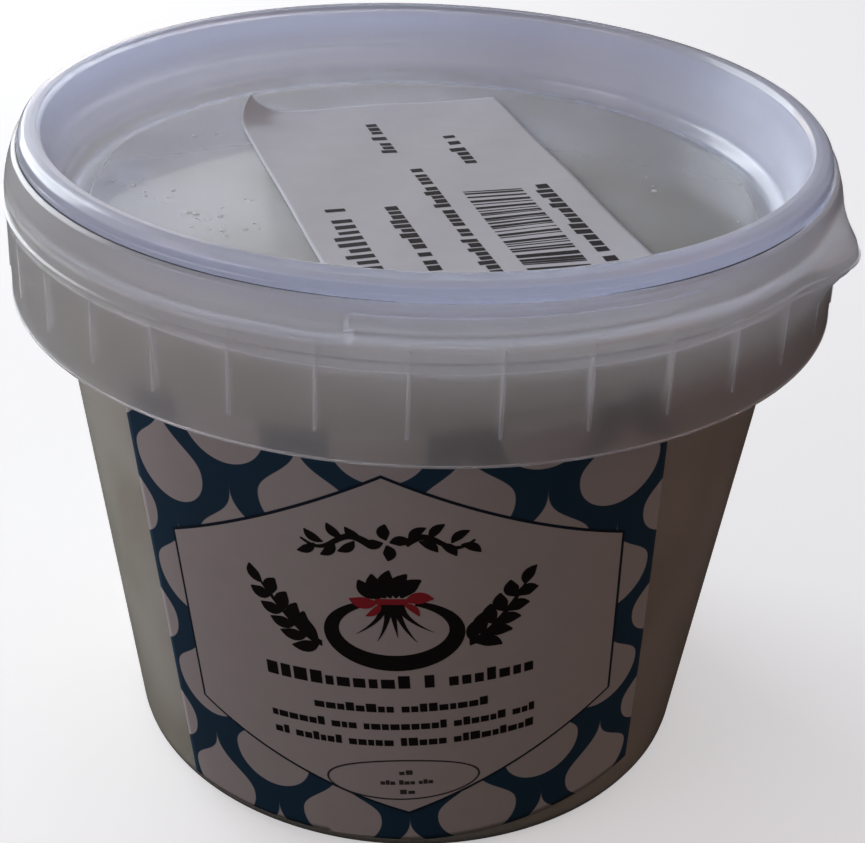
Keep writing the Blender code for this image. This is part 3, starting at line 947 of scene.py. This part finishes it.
def make_floor():
    """Pale board. It throws back less light than it shows, so the shaded front stays deep."""
    material, tree = new_material("matte_studio_board")
    place = add(tree, "ShaderNodeTexCoord").outputs["Object"]
    # tones drift over about 300 mm
    tone = add(tree, "ShaderNodeTexNoise", {"Vector": place, "Scale": 3.0})
    colour = add(tree, "ShaderNodeMapRange", {"Value": tone, "To Min": 0.80, "To Max": 0.84})
    pale = add(tree, "ShaderNodeBsdfPrincipled", {
        "Base Color": colour.outputs[0], "Roughness": 0.85,
        "Emission Color": linear("f6f6f8"), "Emission Strength": 0.48})
    deep = add(tree, "ShaderNodeBsdfPrincipled", {
        "Base Color": linear("2c2521"), "Roughness": 0.85})
    path = add(tree, "ShaderNodeLightPath")
    mix = add(tree, "ShaderNodeMixShader", {0: path.outputs["Is Camera Ray"], 1: deep, 2: pale})
    add(tree, "ShaderNodeOutputMaterial", {"Surface": mix})
    bm = bmesh.new()
    bmesh.ops.create_grid(bm, x_segments=1, y_segments=1, size=FLOOR_HALF_WIDTH)
    mesh = bpy.data.meshes.new("floor")
    bm.to_mesh(mesh)
    bm.free()
    mesh.materials.append(material)
    floor = bpy.data.objects.new("floor", mesh)
    bpy.context.scene.collection.objects.link(floor)
    floor.location.z = -0.2 * MM


LAMPS = {                        # place, aim, width and height in metres, watts, colour
    "window": ((-0.62, 0.50, 0.36), (0.0, 0.0, 0.07), (0.60, 0.60), 4.2, "f2f9fe"),
    "back_left": ((-0.34, 0.86, 0.30), (0.0, 0.0, 0.06), (0.46, 0.40), 0.6, "f2f5fe"),
    "back_low": ((-0.25, 0.93, 0.13), (0.0, 0.0, 0.06), (0.60, 0.16), 0.5, "feeadc"),
    "left_near": ((-0.34, -0.20, 0.27), (0.0, 0.0, 0.06), (0.24, 0.24), 0.28, "f9effa"),
    "right": ((0.42, -0.10, 0.34), (0.0, 0.0, 0.06), (0.30, 0.30), 0.10, "ffa890"),
    "top": ((0.10, 0.15, 0.95), (0.0, 0.0, 0.07), (0.60, 0.60), 0.85, "c0dcfe"),
}
AMBIENT = ("fceee2", 0.19)       # light from all round
BACKDROP = ("d8d7d5", 1.0)       # what the camera sees beyond the floor; it lights nothing

# Camera, in millimetres: where it stands and aims, its lean in degrees, and its focal length
# as a number of image columns
CAMERA_PLACE = (0.0, -189.04, 147.91)
CAMERA_TARGET = (1.93, -15.36, 48.76)
CAMERA_LEAN = 2.44
FOCAL_COLUMNS = 1650.0
IMAGE_COLUMNS = 865.0
SENSOR_WIDTH = 36.0


def make_lights():
    """Soft lamps and a dim surrounding light."""
    for name, (place, aim, size, power, colour) in LAMPS.items():
        data = bpy.data.lights.new(name, 'AREA')
        data.shape = 'RECTANGLE'
        data.size, data.size_y = size
        data.energy = power
        data.color = linear(colour)[:3]
        lamp = bpy.data.objects.new(name, data)
        bpy.context.scene.collection.objects.link(lamp)
        lamp.location = place
        lamp.rotation_euler = (Vector(aim) - Vector(place)).to_track_quat('-Z', 'Y').to_euler()
        lamp.visible_camera = False
    world = bpy.data.worlds.new("studio")
    bpy.context.scene.world = world
    world.use_nodes = True
    tree = world.node_tree
    tree.nodes.clear()
    glow = add(tree, "ShaderNodeBackground", {"Color": linear(AMBIENT[0]), "Strength": AMBIENT[1]})
    backdrop = add(tree, "ShaderNodeBackground", {
        "Color": linear(BACKDROP[0]), "Strength": BACKDROP[1]})
    path = add(tree, "ShaderNodeLightPath")
    mix = add(tree, "ShaderNodeMixShader", {0: path.outputs["Is Camera Ray"], 1: glow, 2: backdrop})
    add(tree, "ShaderNodeOutputWorld", {"Surface": mix})


def make_camera():
    """Close view from the front and above, leaning a little clockwise."""
    data = bpy.data.cameras.new("camera")
    data.sensor_width = SENSOR_WIDTH
    data.lens = SENSOR_WIDTH * FOCAL_COLUMNS / IMAGE_COLUMNS
    camera = bpy.data.objects.new("camera", data)
    bpy.context.scene.collection.objects.link(camera)
    place = Vector(CAMERA_PLACE) * MM
    target = Vector(CAMERA_TARGET) * MM
    lean = Matrix.Rotation(math.radians(CAMERA_LEAN), 3, 'Z')
    turned = (target - place).to_track_quat('-Z', 'Y').to_matrix() @ lean
    camera.matrix_world = Matrix.Translation(place) @ turned.to_4x4()
    bpy.context.scene.camera = camera


def main():
    scene = bpy.context.scene
    scene.view_settings.view_transform = 'Standard'
    black = ink("black_offset_ink", "1a1617")
    make_tub(frosted_polypropylene())
    make_ribs(thick_polypropylene())
    make_lid(clear_polypropylene())
    # painted shadow line in the joint between lid and collar
    make_painted_gap_shadow(painted_gap_shadow())
    make_whey(whey())
    make_cheese(fresh_cheese())
    make_bubbles(bubble_film())
    make_label(printed_paper())
    make_shield(plain_paper("coated_label_paper", "d8cfd0", 0.5),
                ink("navy_offset_ink", "1b2a3c"))
    make_label_inks(black, ink("red_offset_ink", "b8323c"), ink("grey_offset_ink", "4a4446"))
    make_sticker(plain_paper("thermal_paper", "dcdce0", 0.6))
    make_sticker_marks(ink("thermal_black", "242328"))
    make_floor()
    make_lights()
    make_camera()


main()
